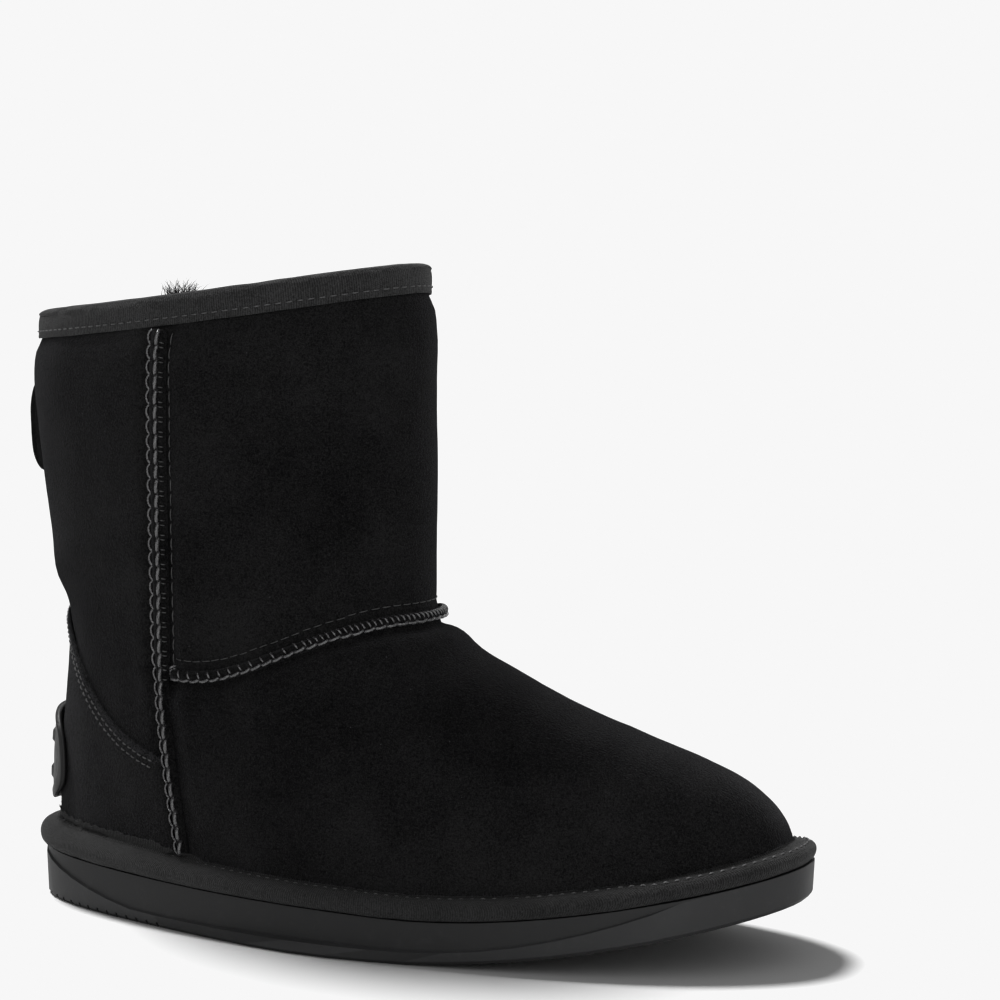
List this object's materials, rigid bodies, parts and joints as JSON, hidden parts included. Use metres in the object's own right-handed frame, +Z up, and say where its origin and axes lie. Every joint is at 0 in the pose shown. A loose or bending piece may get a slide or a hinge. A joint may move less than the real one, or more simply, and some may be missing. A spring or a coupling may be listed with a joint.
{
  "type": "sheepskin ankle boot",
  "caption": "Short pull-on sheepskin boot for the right foot: suede upper with wool inside, taped collar and rand, foam outsole, heel counter and back pull loop.",
  "frame": {"origin": "middle of the footprint, on the floor plane", "axes": "+X from heel to toe, +Y to the inner (medial) side, +Z up"},
  "size_m": [0.2822, 0.107, 0.2172],
  "materials": {
    "suede": "brushed black suede, napped and matte",
    "binding_tape": "ribbed charcoal tape",
    "sole_foam": "satin moulded charcoal foam",
    "wool": "dense curly black wool pile",
    "seam_thread": "thick waxed black thread, slightly shiny",
    "badge_rubber": "soft black rubber"
  },
  "bodies": {
    "root": {"outsole": "sole_foam", "rand_binding": "binding_tape", "insole": "wool", "upper": "suede", "collar_binding": "binding_tape", "heel_counter": "suede", "lateral_side_seam": "seam_thread", "medial_side_seam": "seam_thread", "vamp_seam": "seam_thread", "heel_badge": "badge_rubber", "pull_loop": "binding_tape"}
  },
  "joints": []
}
